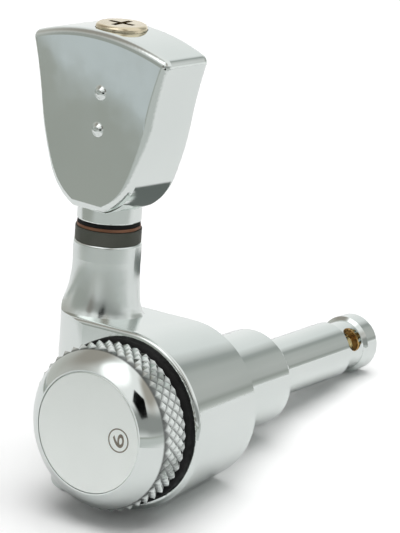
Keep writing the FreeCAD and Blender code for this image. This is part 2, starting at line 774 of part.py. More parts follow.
def knurl_shell(inner, count, rows):
    """A ring whose outside is a net of four-sided diamonds between two flat ends."""
    step = math.pi / count
    peak = size("knurl_radius")
    valley = size("knurl_radius - knurl_depth")
    edge_peak = size("knurl_radius - knurl_edge_drop")
    start = -size("band_back")
    rise = size("knurl_half_pitch")

    def spot(column, row):
        if row == 0:
            radius = size("bezel_radius")
        elif (column + row) % 2:
            radius = valley
        else:
            radius = edge_peak if row == rows else peak
        angle = step * column
        return FreeCAD.Vector(radius * math.cos(angle), start + rise * row, radius * math.sin(angle))

    faces = []
    for row in range(rows):
        for column in range(2 * count):
            a, b = spot(column, row), spot(column + 1, row)
            c, d = spot(column + 1, row + 1), spot(column, row + 1)
            if (column + row) % 2:
                triples = ((a, b, c), (a, c, d))
            else:
                triples = ((a, b, d), (b, c, d))
            for triple in triples:
                faces.append(Part.Face(Part.makePolygon(list(triple) + [triple[0]])))
    for row in (0, rows):
        rim = [spot(column, row) for column in range(2 * count)]
        outer = Part.makePolygon(rim + [rim[0]])
        height = start + rise * row
        hole = Part.Wire(Part.makeCircle(inner, FreeCAD.Vector(0, height, 0), FreeCAD.Vector(0, 1, 0)))
        faces.append(Part.Face([outer, hole]))
    length = rise * rows
    tube = Part.makeCylinder(inner, length, FreeCAD.Vector(0, start, 0), FreeCAD.Vector(0, 1, 0))
    faces.append([face for face in tube.Faces if face.Surface.TypeId == "Part::GeomCylinder"][0])
    shell = Part.Compound(faces)
    shell.sewShape(size("sewing_gap"))
    return Part.Solid(Part.Shell(shell.Faces))


def make_thumbwheel():
    core = new_body("thumbwheel_core")
    band = "knurl_radius - knurl_core_drop"
    turned(
        core,
        "thumbwheel_turning",
        [
            ("tail_radius + running_gap", "-hub_back"),
            ("recess_radius", "-hub_back"),
            ("recess_radius", "-plate_front"),
            ("face_radius + fit_gap", "-plate_front"),
            ("face_radius + fit_gap", "-face_back"),
            ("face_radius + fit_gap + bezel_lip", "-face_back", "bezel_round"),
            ("bezel_radius", "-band_back"),
            (band, "-band_back"),
            (band, "-band_front"),
            ("tail_radius + running_gap", "-band_front"),
        ],
    )
    knurl = doc.addObject("Part::Feature", "knurled_band")
    knurl.Shape = knurl_shell(size(band), int(size("knurl_count")), int(size("knurl_rows")))
    whole = doc.addObject("Part::Fuse", "thumbwheel")
    whole.Base = core
    whole.Tool = knurl
    doc.recompute()
    return whole


def make_face_plate():
    body = new_body("face_plate")
    turned(
        body,
        "face_plate_turning",
        [
            ("0", "-face_back"),
            ("face_radius - face_edge", "-face_back", "face_edge"),
            ("face_radius", "-face_back + face_edge"),
            ("face_radius", "-plate_front"),
            ("0", "-plate_front"),
        ],
    )
    return body


def make_spindle():
    body = new_body("lock_spindle")
    turned(
        body,
        "spindle_turning",
        [
            ("0", "-spindle_head_back"),
            ("recess_radius - fit_gap", "-spindle_head_back"),
            ("recess_radius - fit_gap", "-spindle_head_front"),
            ("spindle_radius", "-spindle_head_front"),
            ("spindle_radius", "spindle_tip - spindle_point"),
            ("spindle_radius - spindle_point", "spindle_tip"),
            ("0", "spindle_tip"),
        ],
    )
    return body


def make_lock_pin():
    body = new_body("lock_pin")
    raised(body, "pin_rod", flatted("pin_radius", "(pin_flat_share * pin_bore_radius - running_gap)"),
           "pin_tip - pin_rear", "XZ_Plane", ("0", "0", "-pin_rear"), back=True)
    sunk(body, "pin_hollow", circle_path("(spindle_radius + running_gap)"), "pin_overlap + pin_bore_radius",
         "XZ_Plane", ("0", "0", "-pin_rear"))
    return body


def make_worm_shaft():
    """Upright on the worm's axis, with the thread's middle level with the post."""
    body = new_body("worm_shaft")
    turned(
        body,
        "shaft_turning",
        [
            ("0", "-journal_foot"),
            ("foot_journal_radius", "-journal_foot"),
            ("foot_journal_radius", "-lower_collar_foot"),
            ("collar_radius", "-lower_collar_foot"),
            ("collar_radius", "-lower_collar_top"),
            ("worm_root_radius", "-lower_collar_top + collar_width"),
            ("worm_root_radius", "upper_collar_foot - collar_width"),
            ("collar_radius", "upper_collar_foot"),
            ("collar_radius", "upper_collar_top"),
            ("shaft_radius", "upper_collar_top"),
            ("shaft_radius", "black_top"),
            ("0", "black_top"),
        ],
        "XZ_Plane",
    )
    thread = body.newObject("PartDesign::AdditiveHelix", "worm_thread")
    deep = "worm_root_radius - fit_gap"
    extra = "fit_gap * tan(tooth_pressure_angle)"
    thread.Profile = outline(
        body,
        "worm_thread_outline",
        [
            (deep, "-thread_half - thread_root_half - " + extra),
            ("worm_tip_radius", "-thread_half - thread_tip_half"),
            ("worm_tip_radius", "-thread_half + thread_tip_half"),
            (deep, "-thread_half + thread_root_half + " + extra),
        ],
        "XZ_Plane",
    )
    thread.ReferenceAxis = (thread.Profile[0], ["V_Axis"])
    thread.Mode = 0
    thread.setExpression("Pitch", bound("worm_pitch"))
    thread.setExpression("Height", bound("worm_pitch * worm_turns"))
    doc.recompute()
    raised(body, "drive_end", double_flat("shaft_radius", "shaft_flat"), "shaft_top - black_top", "XY_Plane",
           ("0", "0", "black_top"), turn=(FreeCAD.Vector(0, 0, 1), "button_turn"))
    sunk(body, "screw_thread_bore", circle_path("(screw_shank_radius + fit_gap)"),
         "screw_length - screw_seat + shaft_top + cut_overrun", "XY_Plane", ("0", "0", "shaft_top"))
    on_worm_axis(body)
    return body


def make_sleeve():
    body = new_body("shaft_sleeve")
    turned(
        body,
        "sleeve_turning",
        [
            ("shaft_radius + running_gap", "bore_shoulder"),
            ("sleeve_radius - fit_gap", "bore_shoulder"),
            ("sleeve_radius - fit_gap", "neck_top + fit_gap"),
            ("sleeve_flange_radius", "neck_top + fit_gap"),
            ("sleeve_flange_radius", "flange_top"),
            ("shaft_radius + running_gap", "flange_top"),
        ],
        "XZ_Plane",
    )
    on_worm_axis(body)
    return body


def make_end_plug():
    body = new_body("worm_end_plug")
    turned(
        body,
        "plug_turning",
        [
            ("0", "-plug_foot"),
            ("worm_bore_radius - fit_gap", "-plug_foot"),
            ("worm_bore_radius - fit_gap", "-plug_top"),
            ("foot_journal_radius + running_gap", "-plug_top"),
            ("foot_journal_radius + running_gap", "-journal_foot - running_gap"),
            ("0", "-journal_foot - running_gap"),
        ],
        "XZ_Plane",
    )
    on_worm_axis(body)
    return body


def make_button():
    body = new_body("button")
    half = "blade_thickness / 2"
    up = "collar_foot + "
    top_round = "((blade_corner_half ^ 2 + (blade_crest - blade_corner_height) ^ 2)"
    top_round += " / (2 * (blade_crest - blade_corner_height)))"
    blade = raised(
        body,
        "blade",
        [
            ("blade_base_half", up + "blade_base", "blade_cheek_round"),
            ("blade_cheek_half", up + "blade_cheek_height", "blade_side_round"),
            ("blade_waist_half", up + "blade_waist_height", "-blade_flare_round"),
            ("blade_corner_half", up + "blade_corner_height", top_round),
            ("0", up + "blade_crest", top_round),
            ("-blade_corner_half", up + "blade_corner_height", "-blade_flare_round"),
            ("-blade_waist_half", up + "blade_waist_height", "blade_side_round"),
            ("-blade_cheek_half", up + "blade_cheek_height", "blade_cheek_round"),
            ("-blade_base_half", up + "blade_base"),
        ],
        "blade_thickness",
        "XZ_Plane",
        ("0", "0", "-" + half),
    )
    reach = "(blade_corner_half + cut_overrun)"
    drop = "(blade_crown_round - sqrt(blade_crown_round ^ 2 - %s ^ 2))" % reach
    for name, side in (("front_crown", "-"), ("back_crown", "")):
        bend = "%sblade_crown_round" % ("" if side else "-")
        middle = side + half
        ends = "%s(%s - %s)" % (side, half, drop)
        beyond = "%s(%s + cut_overrun)" % (side, half)
        crowned = through(body, name, [
            ("-" + reach, ends, bend),
            ("0", middle, bend),
            (reach, ends),
            (reach, beyond),
            ("-" + reach, beyond),
        ], "XY_Plane")
    rounded(body, "blade_edges", crowned, "blade_edge_round", lambda edge: True)
    turned(
        body,
        "button_collar",
        [
            ("0", "collar_foot"),
            ("button_collar_radius - collar_round", "collar_foot", "collar_round"),
            ("button_collar_radius", "collar_foot + collar_round"),
            ("button_collar_radius", "collar_foot + button_collar_height"),
            ("0", up + "button_collar_height + button_collar_radius"),
        ],
        "XZ_Plane",
    )
    sunk(body, "shaft_socket", double_flat("(shaft_radius + fit_gap)", "(shaft_flat + fit_gap)"),
         "shaft_top + fit_gap - collar_foot", "XY_Plane", ("0", "0", "collar_foot"), back=True)
    turned(
        body,
        "screw_bore",
        [
            ("0", "shaft_top"),
            ("screw_shank_radius + running_gap", "shaft_top"),
            ("screw_shank_radius + running_gap", "screw_seat"),
            ("screw_head_radius + running_gap", "screw_seat"),
            ("screw_head_radius + running_gap", "screw_top"),
            ("0", "screw_top"),
        ],
        "XZ_Plane",
        cut=True,
    )
    on_worm_axis(body)
    body.Placement = FreeCAD.Placement(
        FreeCAD.Vector(), FreeCAD.Rotation(FreeCAD.Vector(0, 0, 1), size("button_turn"))
    )
    body.setExpression("Placement.Rotation.Angle", bound("button_turn"))
    return body


def make_button_screw():
    body = new_body("button_screw")
    turned(
        body,
        "screw_turning",
        [
            ("0", "screw_seat - screw_length"),
            ("screw_shank_radius - screw_point", "screw_seat - screw_length"),
            ("screw_shank_radius", "screw_seat - screw_length + screw_point"),
            ("screw_shank_radius", "screw_seat + fit_gap"),
            ("screw_head_radius", "screw_seat + fit_gap"),
            ("screw_head_radius", "screw_top - screw_head_round", "screw_head_round"),
            ("screw_head_radius - screw_head_round", "screw_top"),
            ("0", "screw_top"),
        ],
        "XZ_Plane",
    )
    for name, long_way, short_way in (
        ("slot_across", "cross_reach", "cross_half_width"),
        ("slot_along", "cross_half_width", "cross_reach"),
    ):
        corners = [
            ("-" + long_way, "-" + short_way),
            (long_way, "-" + short_way),
            (long_way, short_way),
            ("-" + long_way, short_way),
        ]
        sunk(body, name, corners, "cross_depth", "XY_Plane", ("0", "0", "screw_top"))
    on_worm_axis(body)
    return body


fill_sheet()
NODES = (
    make_housing(),
    make_pegs(),
    make_rear_cover(),
    make_black_ring(),
    make_post_bush(),
    make_thrust_washer(),
    make_string_post(),
    make_worm_wheel(),
    make_wheel_nut(),
    make_clip(),
    make_thumbwheel(),
    make_face_plate(),
    make_spindle(),
    make_lock_pin(),
    make_worm_shaft(),
    make_sleeve(),
    make_end_plug(),
    simple_ring("worm_lower_washer", "foot_journal_radius + running_gap", "worm_bore_radius - running_gap",
                "-plug_top + running_gap / 2", "-lower_collar_foot - running_gap", upright=True),
    simple_ring("worm_upper_washer", "shaft_radius + running_gap", "worm_bore_radius - running_gap",
                "upper_collar_top + running_gap", "bore_shoulder - running_gap / 2", upright=True),
    simple_ring("bronze_washer", "shaft_radius + running_gap", "bronze_radius", "bronze_foot", "bronze_top",
                upright=True),
    simple_ring("black_washer", "shaft_radius + running_gap", "black_radius", "black_foot", "black_top",
                upright=True),
    make_button(),
    make_button_screw(),
)
doc.recompute()

for item in doc.Objects:
    if "Invalid" in item.State or "Error" in item.State:
        raise RuntimeError("%s failed: %s" % (item.Name, item.State))
os.makedirs("parts", exist_ok=True)
for node in NODES:
    if node.Shape.isNull() or not node.Shape.isValid():
        raise RuntimeError(node.Label + " has no sound shape")
for node in NODES:
    node.Shape.exportStep("parts/%s.step" % node.Label)
    print("%-20s %8.2f mm3 %d solids" % (node.Label, node.Shape.Volume, len(node.Shape.Solids)))
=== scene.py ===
"""Looks of a locking guitar tuning machine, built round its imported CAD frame.

The post lies along +Y, the button's shaft stands along +Z, and the origin is on the post's
axis in the plane of the seat. Lengths are in metres, azimuths run from +X towards +Y.
"""

import math

import bpy
from mathutils import Matrix, Vector


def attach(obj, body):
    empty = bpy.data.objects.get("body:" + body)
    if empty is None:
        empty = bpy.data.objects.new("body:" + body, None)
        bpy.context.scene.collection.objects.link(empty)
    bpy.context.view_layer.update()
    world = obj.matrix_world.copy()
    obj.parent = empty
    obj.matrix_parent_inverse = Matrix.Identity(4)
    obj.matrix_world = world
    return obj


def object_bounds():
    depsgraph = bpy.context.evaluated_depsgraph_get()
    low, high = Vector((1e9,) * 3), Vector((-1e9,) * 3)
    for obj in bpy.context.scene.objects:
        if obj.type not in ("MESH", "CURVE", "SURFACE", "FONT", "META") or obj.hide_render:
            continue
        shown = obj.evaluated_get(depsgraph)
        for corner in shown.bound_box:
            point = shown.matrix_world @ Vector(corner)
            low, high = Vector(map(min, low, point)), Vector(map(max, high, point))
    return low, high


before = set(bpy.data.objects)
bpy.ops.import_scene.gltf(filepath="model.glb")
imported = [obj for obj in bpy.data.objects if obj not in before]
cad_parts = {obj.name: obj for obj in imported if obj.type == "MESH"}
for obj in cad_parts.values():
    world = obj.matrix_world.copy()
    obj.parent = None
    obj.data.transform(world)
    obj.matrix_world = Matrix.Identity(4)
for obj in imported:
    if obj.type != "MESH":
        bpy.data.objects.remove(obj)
cad_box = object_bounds()

MM = 0.001

# Camera: where the photograph was taken from, through a long lens.
CAMERA_PLACE = Vector((192.8, -285.4, 104.3)) * MM
CAMERA_AZIMUTH = 34.01
CAMERA_ELEVATION = 14.75
CAMERA_ROLL = 4.11
CAMERA_LENS = 243.2
CAMERA_CLIP = (0.01, 20.0)
SENSOR_WIDTH = 36.0

# Floor: a white sheet that touches the drum's rear rim and the post's tip. Between two
# distances it turns plain white.
FLOOR_SIZE = 6.0
FLOOR_SHADE = 0.92
FLOOR_SHADE_SEEN = 1.2
FLOOR_WHITE_FROM = (200 * MM, 500 * MM)
FLOOR_GAP = 0.01 * MM
TIP_LENGTH = 1.6 * MM

# What polished metal sees of the floor: the sheet ends towards the front. Past it the floor
# glows grey to mirrors with painted shade, darker on the left and lighter on the right, and then
# a paler wall follows on the left. It is open at the back. After the sheet's centre, each
# pair of lengths is where a part starts to fade and where it is gone.
SHEET_CENTRE = (-35 * MM, 35 * MM)
SHEET_RADII = (95 * MM, 128 * MM)
SHEET_BACK = (40 * MM, 90 * MM)
SHEET_OPEN = (80 * MM, 120 * MM)
FAR_FLOOR_RADII = (365 * MM, 372 * MM)
WALL_RADII = (540 * MM, 600 * MM)
FAR_FLOOR_SIDES = (-140 * MM, -60 * MM)
FAR_FLOOR_PAINTED_SHADE = (0.38, 0.395, 0.365)
FAR_FLOOR_RIGHT_PAINTED_SHADE = (0.56, 0.58, 0.565)
WALL_SHADE = (0.575, 0.615, 0.63)
FAR_FLOOR_WAVER = 50 * MM
FAR_FLOOR_WAVER_SCALE = 18.0

# Light: a plain level all round and one soft box overhead.
AMBIENT = 0.22
KEY_DIRECTION = (0.06, -0.02, 1.0)
KEY_DISTANCE = 2.4
KEY_SIZE = (2.6, 2.6)
KEY_POWER = 56.0

# The room as polished metal sees it, in oval patches: azimuth, elevation, half width and
# half height in degrees, the share of it over which the patch fades, and its shade. These
# shades, and the painted shade of the far floor, were set from colours read off the
# photograph, then adjusted.
ROOM_WHITE = (0.92, 0.925, 0.92)
ROOM = (
    (-128, 2, 36, 30, 0.5, (0.37, 0.385, 0.36)),
    (174, 6, 24, 26, 0.6, (0.56, 0.56, 0.53)),
    (-170, 50, 34, 30, 0.6, (0.36, 0.335, 0.3)),
    (-40, 9, 60, 14, 0.5, (0.3, 0.31, 0.3)),
    (-88, 14, 10, 16, 0.5, (0.2, 0.185, 0.165)),
    (-34, 48, 14, 24, 0.5, (0.4, 0.37, 0.33)),
    (-103, 58, 30, 19, 0.3, (1.5, 1.5, 1.5)),
)
ROOM_WAVER = 7.0
ROOM_WAVER_SCALE = 2.2
HALF_TURN = 180.0

# The wall behind, by the angle about the post's axis from +X up towards +Z: the floor's
# bright edge, two darker bands with grey between them, and the white roof. Its shades follow
# the photograph's own colours by that angle. It starts where a direction's share along +Y
# passes the first of two marks.
BACK_WALL = (
    (-3, (0.93, 0.94, 0.925)),
    (8, (0.46, 0.475, 0.455)),
    (14, (0.35, 0.365, 0.345)),
    (21, (0.47, 0.48, 0.465)),
    (38, (0.5, 0.51, 0.495)),
    (60, (0.46, 0.475, 0.46)),
    (70, (0.36, 0.38, 0.365)),
    (76, (0.37, 0.39, 0.38)),
    (84, (0.57, 0.585, 0.575)),
    (98, (0.8, 0.82, 0.815)),
    (150, (0.93, 0.94, 0.935)),
)
BACK_WALL_FROM = (0.6, 0.72)

# A black card that only polished metal sees, as it would see a camera, and where it is seen
# from: the bezel's right side.
CARD_FROM = Vector((5.5, -16.3, 4.0)) * MM
CARD_AZIMUTH = -56.0
CARD_ELEVATION = 27.0
CARD_DISTANCE = 40 * MM
CARD_CORNERS = 5
CARD_RADII = (8.4 * MM, 14.5 * MM)
CARD_LEAN = 20.0
CARD_SHADE = 0.005

# A grey card just above the drum, seen by the button's underside alone, from above. It glows with
# painted shade, which the underside mirrors.
SHADE_CARD_PLACE = Vector((-4.2, 7.3, 10.8)) * MM
SHADE_CARD_RADII = (9.4 * MM, 4.8 * MM)
SHADE_CARD_FADE = (0.82, 1.0)
SHADE_CARD_PAINTED_SHADE = (0.14, 0.155, 0.148)

# Grains of the finishes: the range of a noise that is used, and scale and detail of each.
# A relief has a strength and, for cut metal, a depth.
GRAIN_RANGE = (0.35, 0.65)
SMUDGES = (420, 4.0)
PLATE_CLOUD = (90, 2.0)
PLATE_SWELL = (140, 1.0)
CUT_LINES = (900, 2.0)
CUT_PATCHES = (300, 3.0)
CUT_RELIEF = (0.4, 0.006 * MM)
MOULDED_SKIN = (1400, 4.0)
MOULDED_CLOUD = (260, 2.0)
MOULDED_RELIEF = 0.5
MOULDED_SHEEN = 0.2
CHROME_SHADES = ((0.745, 0.79, 0.77), (0.775, 0.815, 0.795))

# Knurl of the thumbwheel: radii of its valleys and crests, and where its band starts. Its valleys
# get painted shade.
KNURL_DEPTHS = (7.82 * MM, 8.16 * MM)
KNURL_BAND = (-15.3 * MM, -15.15 * MM)
VALLEY_PAINTED_SHADE = (0.04, 0.042, 0.04)

# The cast neck is buffed less than the drum: its haze, and the heights where it starts.
NECK_HAZE = 0.17
NECK_HEIGHTS = (7 * MM, 10 * MM)

# Small pieces: the ringed number on the face plate and the two pips on the button.
NUMBER = "6"
NUMBER_PLACE = Vector((3.64, -16.85, 0.09)) * MM
NUMBER_SIZE = 1.83 * MM
NUMBER_WIDTH = 1.75
NUMBER_WEIGHT = 0.012 * MM
NUMBER_CURVES = 8
NUMBER_READING = Matrix(((0, -1, 0), (0, 0, -1), (1, 0, 0))).to_4x4()
RING_RADIUS = 1.2 * MM
RING_LINE = 0.13 * MM
RING_CORNERS = 72
INK_HEIGHT = 0.012 * MM
PIP_PLACES = (Vector((-6.62, -9.16, 31.27)) * MM, Vector((-6.7, -9.15, 27.59)) * MM)
PIP_FACING = Vector((-0.111, -0.994, 0.0)).normalized()
PIP_FOOT = 0.8 * MM
PIP_STEPS = (
    (0.1, 0.04), (0.1, 0.075), (0.1, 0.1), (0.1, 0.095), (0.1, 0.06), (0.1, 0.03), (0.1, 0.01))
PIP_SUNK = 0.02 * MM
PIP_CORNERS = 40

# Lining of the string hole: two short tubes, one on each side of the pin's bore.
HOLE_Y = 26.95 * MM
HOLE_AXIS = Vector((math.cos(math.radians(34)), 0, math.sin(math.radians(34))))
LINING_RADIUS = 1.29 * MM
LINING_WALL = 0.08 * MM
LINING_REACH = (1.37 * MM, 2.12 * MM)
LINING_CORNERS = 48
LINING_SMOOTH = math.radians(40)

# How well a face has to point along a direction to count as facing it.
FACING = 0.9


def unselected():
    """Deselects everything, because the frame's nodes stay selected when they are loaded."""
    bpy.ops.object.select_all(action="DESELECT")


# Steps that finishes and studio share.


def placed(nodes, links, kind):
    """A place or direction as one vector, and its X, Y and Z."""
    coordinates = nodes.new("ShaderNodeTexCoord")
    parts = nodes.new("ShaderNodeSeparateXYZ")
    links.new(coordinates.outputs[kind], parts.inputs[0])
    return coordinates.outputs[kind], parts.outputs


def reckoned(nodes, links, operation, *terms):
    """One step of arithmetic on sockets and numbers."""
    step = nodes.new("ShaderNodeMath")
    step.operation = operation
    for index, term in enumerate(terms):
        if isinstance(term, (int, float)):
            step.inputs[index].default_value = term
        else:
            links.new(term, step.inputs[index])
    return step.outputs[0]


def left_of(nodes, links, share):
    """What a share leaves of 1."""
    return reckoned(nodes, links, "SUBTRACT", 1.0, share)


def levelled(nodes, links, value, start, end, low=0.0, high=1.0, soft=False):
    """Brings the values between two marks to the levels low and high."""
    levels = nodes.new("ShaderNodeMapRange")
    if soft:
        levels.interpolation_type = "SMOOTHSTEP"
    marks = {"From Min": start, "From Max": end, "To Min": low, "To Max": high}
    for socket, number in marks.items():
        levels.inputs[socket].default_value = number
    links.new(value, levels.inputs["Value"])
    return levels.outputs["Result"]


def fading(nodes, links, value, full, gone):
    """1 up to a value, and from there softly down to 0 at another."""
    return levelled(nodes, links, value, full, gone, 1.0, 0.0, soft=True)


def mixed(nodes, links, share, under, over):
    """One colour laid over another by a share from 0 to 1."""
    mix = nodes.new("ShaderNodeMix")
    mix.data_type = "RGBA"
    links.new(share, mix.inputs[0])
    for index, colour in ((6, under), (7, over)):
        if isinstance(colour, tuple):
            mix.inputs[index].default_value = (*colour, 1)
        else:
            links.new(colour, mix.inputs[index])
    return mix.outputs[2]


def layered(nodes, links, share, under, over):
    """One shader laid over another by a share from 0 to 1."""
    mix = nodes.new("ShaderNodeMixShader")
    for source, socket in zip((share, under, over), mix.inputs):
        links.new(source, socket)
    return mix.outputs[0]


# Finishes.


def new_finish(name):
    """A material with one Principled shader, and the nodes and links that a finish adds to."""
    material = bpy.data.materials.new(name)
    material.use_nodes = True
    tree = material.node_tree
    return material, tree.nodes, tree.links, tree.nodes["Principled BSDF"]


def grain(nodes, links, scale, detail, stretch=(1, 1, 1)):
    """Noise on the piece's own coordinates, stretched along its axes."""
    coordinates = nodes.new("ShaderNodeTexCoord")
    mapping = nodes.new("ShaderNodeMapping")
    mapping.inputs["Scale"].default_value = stretch
    noise = nodes.new("ShaderNodeTexNoise")
    noise.inputs["Scale"].default_value = scale
    noise.inputs["Detail"].default_value = detail
    links.new(coordinates.outputs["Object"], mapping.inputs["Vector"])
    links.new(mapping.outputs["Vector"], noise.inputs["Vector"])
    return noise.outputs["Fac"]


def tint(nodes, links, source, first, second):
    """A colour that drifts between two shades with a noise."""
    ramp = nodes.new("ShaderNodeValToRGB")
    for stop, position, shade in zip(ramp.color_ramp.elements, GRAIN_RANGE, (first, second)):
        stop.position = position
        stop.color = (*shade, 1)
    links.new(source, ramp.inputs["Fac"])
    return ramp.outputs["Color"]


def relief(nodes, links, shader, source, strength, distance):
    """Gives a shader the small unevenness of a noise."""
    bump = nodes.new("ShaderNodeBump")
    bump.inputs["Strength"].default_value = strength
    bump.inputs["Distance"].default_value = distance
    links.new(source, bump.inputs["Height"])
    links.new(bump.outputs["Normal"], shader.inputs["Normal"])


def chrome_plate(name, shades, polish, wave):
    """Chrome on a cast and buffed part: a mirror with a faint swell and a few smudges."""
    material, nodes, links, shader = new_finish(name)
    shader.inputs["Metallic"].default_value = 1.0
    smudges = grain(nodes, links, *SMUDGES)
    links.new(levelled(nodes, links, smudges, *GRAIN_RANGE, *polish), shader.inputs["Roughness"])
    cloud = grain(nodes, links, *PLATE_CLOUD)
    links.new(tint(nodes, links, cloud, *shades), shader.inputs["Base Color"])
    relief(nodes, links, shader, grain(nodes, links, *PLATE_SWELL), 1.0, wave)
    return material


def machined_metal(name, shades, polish, across):
    """Turned or cut metal: fine lines that run round the piece."""
    material, nodes, links, shader = new_finish(name)
    shader.inputs["Metallic"].default_value = 1.0
    lines = grain(nodes, links, *CUT_LINES, across)
    links.new(levelled(nodes, links, lines, *GRAIN_RANGE, *polish), shader.inputs["Roughness"])
    patches = grain(nodes, links, *CUT_PATCHES)
    links.new(tint(nodes, links, patches, *shades), shader.inputs["Base Color"])
    relief(nodes, links, shader, lines, *CUT_RELIEF)
    return material


def moulded(name, shades, polish, pores):
    """Rubber or nylon: no metal in it, a soft sheen and small pores."""
    material, nodes, links, shader = new_finish(name)
    skin = grain(nodes, links, *MOULDED_SKIN)
    links.new(levelled(nodes, links, skin, *GRAIN_RANGE, *polish), shader.inputs["Roughness"])
    cloud = grain(nodes, links, *MOULDED_CLOUD)
    links.new(tint(nodes, links, cloud, *shades), shader.inputs["Base Color"])
    relief(nodes, links, shader, skin, MOULDED_RELIEF, pores)
    return material


def paint_valley_shade(material, bottom, crest, shade):
    """Paints shade into a knurl's valleys, by their distance from the axis."""
    nodes, links = material.node_tree.nodes, material.node_tree.links
    colour = nodes["Principled BSDF"].inputs["Base Color"]
    plating = colour.links[0].from_socket
    vector, place = placed(nodes, links, "Object")
    level = nodes.new("ShaderNodeMapping")
    level.inputs["Scale"].default_value = (1, 0, 1)
    links.new(vector, level.inputs["Vector"])
    radius = nodes.new("ShaderNodeVectorMath")
    radius.operation = "LENGTH"
    links.new(level.outputs["Vector"], radius.inputs[0])
    low = fading(nodes, links, radius.outputs["Value"], bottom, crest)
    band = levelled(nodes, links, place["Y"], *KNURL_BAND)
    share = reckoned(nodes, links, "MULTIPLY", low, band)
    links.new(mixed(nodes, links, share, plating, shade), colour)


def haze_neck(material, haze, heights):
    """Leaves the neck of a casting a little duller than the rest, by its height."""
    nodes, links = material.node_tree.nodes, material.node_tree.links
    roughness = nodes["Principled BSDF"].inputs["Roughness"]
    polish = roughness.links[0].from_socket
    place = placed(nodes, links, "Object")[1]
    high = levelled(nodes, links, place["Z"], *heights, 0.0, haze, soft=True)
    links.new(reckoned(nodes, links, "ADD", polish, high), roughness)


def wear(material, *names):
    """Puts a finish on CAD nodes."""
    for name in names:
        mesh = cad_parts[name].data
        mesh.materials.clear()
        mesh.materials.append(material)


polished_chrome = chrome_plate("polished_chrome", CHROME_SHADES, (0.03, 0.075), 0.01 * MM)
satin_face = chrome_plate(
    "satin_face", ((0.9, 0.94, 0.91), (0.91, 0.95, 0.92)), (0.3, 0.34), 0.0005 * MM)
cast_housing = chrome_plate("cast_housing", CHROME_SHADES, (0.03, 0.075), 0.01 * MM)
cast_button = chrome_plate("cast_button", CHROME_SHADES, (0.04, 0.09), 0.03 * MM)
knurled_chrome = chrome_plate("knurled_chrome", CHROME_SHADES, (0.05, 0.12), 0.01 * MM)
turned_steel = machined_metal(
    "turned_steel", ((0.54, 0.55, 0.56), (0.62, 0.63, 0.64)), (0.22, 0.4), (1, 6, 1))
cut_brass = machined_metal(
    "cut_brass", ((0.7, 0.54, 0.25), (0.8, 0.64, 0.34)), (0.2, 0.38), (1, 5, 1))
plated_screw = machined_metal(
    "plated_screw", ((0.72, 0.62, 0.44), (0.82, 0.73, 0.55)), (0.12, 0.24), (1, 1, 5))
bare_brass = machined_metal(
    "bare_brass", ((0.5, 0.27, 0.08), (0.68, 0.42, 0.16)), (0.25, 0.45), (4, 1, 4))
sintered_bronze = machined_metal(
    "sintered_bronze", ((0.2, 0.1, 0.06), (0.27, 0.14, 0.09)), (0.35, 0.55), (1, 1, 6))
ring_rubber = moulded(
    "ring_rubber", ((0.006, 0.006, 0.006), (0.012, 0.012, 0.012)), (0.6, 0.8), 0.01 * MM)
sleeve_nylon = moulded(
    "sleeve_nylon", ((0.092, 0.098, 0.08), (0.12, 0.126, 0.106)), (0.45, 0.6), 0.006 * MM)
marking_ink = moulded(
    "marking_ink", ((0.2, 0.175, 0.13), (0.26, 0.23, 0.18)), (0.4, 0.55), 0.002 * MM)

# Painted shade in the knurl's valleys.
paint_valley_shade(knurled_chrome, *KNURL_DEPTHS, VALLEY_PAINTED_SHADE)
haze_neck(cast_housing, NECK_HAZE, NECK_HEIGHTS)
for finish in (ring_rubber, sleeve_nylon):
    shader = finish.node_tree.nodes["Principled BSDF"]
    shader.inputs["Specular IOR Level"].default_value = MOULDED_SHEEN

wear(cast_housing, "housing")
wear(polished_chrome, "string_post", "worm_end_plug")
wear(cast_button, "button")
wear(knurled_chrome, "thumbwheel")
wear(satin_face, "face_plate")
wear(turned_steel, "rear_cover", "locating_pins", "wheel_nut", "retaining_clip",
     "lock_spindle", "worm_shaft")
wear(cut_brass, "worm_wheel", "lock_pin")
wear(plated_screw, "button_screw")
wear(sintered_bronze, "bronze_washer", "post_bushing", "post_thrust_washer",
     "worm_lower_washer", "worm_upper_washer")
wear(ring_rubber, "friction_ring", "black_washer")
wear(sleeve_nylon, "shaft_sleeve")

# Small pieces.


def editing():
    """Opens the active piece in edit mode, on its faces, with nothing selected."""
    bpy.ops.object.mode_set(mode="EDIT")
    bpy.ops.mesh.select_mode(type="FACE")
    bpy.ops.mesh.select_all(action="DESELECT")


def pick_ends(axis):
    """Selects the active piece's faces that look up or down an axis."""
    piece = bpy.context.object
    bpy.ops.object.mode_set(mode="OBJECT")
    for face in piece.data.polygons:
        face.select = abs(face.normal.dot(axis)) > FACING
    bpy.ops.object.mode_set(mode="EDIT")


def hollowed(axis, wall):
    """Makes a tube of the active cylinder: both ends inset by the wall and bridged."""
    bpy.ops.object.transform_apply(location=True, rotation=True, scale=True)
    editing()
    pick_ends(axis)
    bpy.ops.mesh.inset(thickness=wall)
    bpy.ops.mesh.bridge_edge_loops()
    bpy.ops.object.mode_set(mode="OBJECT")


def settle(piece, name, finish, body):
    """Names a finished piece, gives it its finish, and lets it ride on its body."""
    bpy.ops.object.transform_apply(location=True, rotation=True, scale=True)
    piece.name = name
    piece.data.materials.clear()
    piece.data.materials.append(finish)
    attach(piece, body)


def number_ring():
    """The thin printed ring round the number, a flat tube on the face plate."""
    unselected()
    bpy.ops.mesh.primitive_cylinder_add(
        vertices=RING_CORNERS, radius=RING_RADIUS, depth=2 * INK_HEIGHT, location=NUMBER_PLACE,
        rotation=(math.radians(90), 0, 0))
    hollowed(Vector((0, 1, 0)), RING_LINE)
    settle(bpy.context.object, "number_ring", marking_ink, "thumbwheel")


